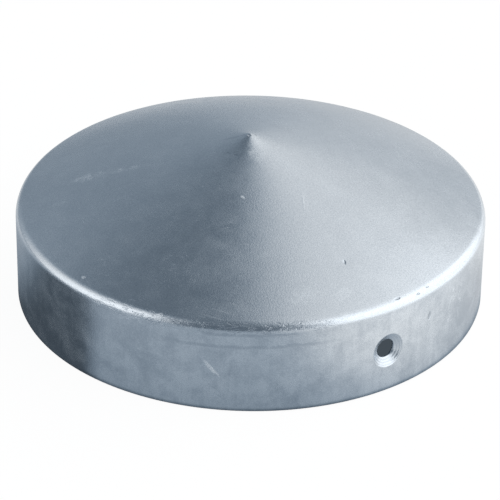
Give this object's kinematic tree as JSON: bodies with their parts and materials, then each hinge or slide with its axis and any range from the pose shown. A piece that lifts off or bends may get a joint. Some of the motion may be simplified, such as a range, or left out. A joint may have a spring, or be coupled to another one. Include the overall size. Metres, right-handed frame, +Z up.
{
  "type": "fence post cap",
  "caption": "Round drawn sheet-metal cap with a shallow pointed crown that fits over the top of a round fence post and is held by countersunk side screws.",
  "frame": {"origin": "centre of the open rim, in the plane of the trimmed lower edge", "axes": "+Z up along the cap's axis towards its point; the screw holes lie on the X axis, one each side"},
  "size_m": [0.104, 0.104, 0.0381],
  "materials": {
    "satin_aluminium": "bare mill-finish sheet, satin, with fine drawing streaks and light handling marks"
  },
  "bodies": {
    "root": {"cap_shell": "satin_aluminium"}
  },
  "joints": []
}
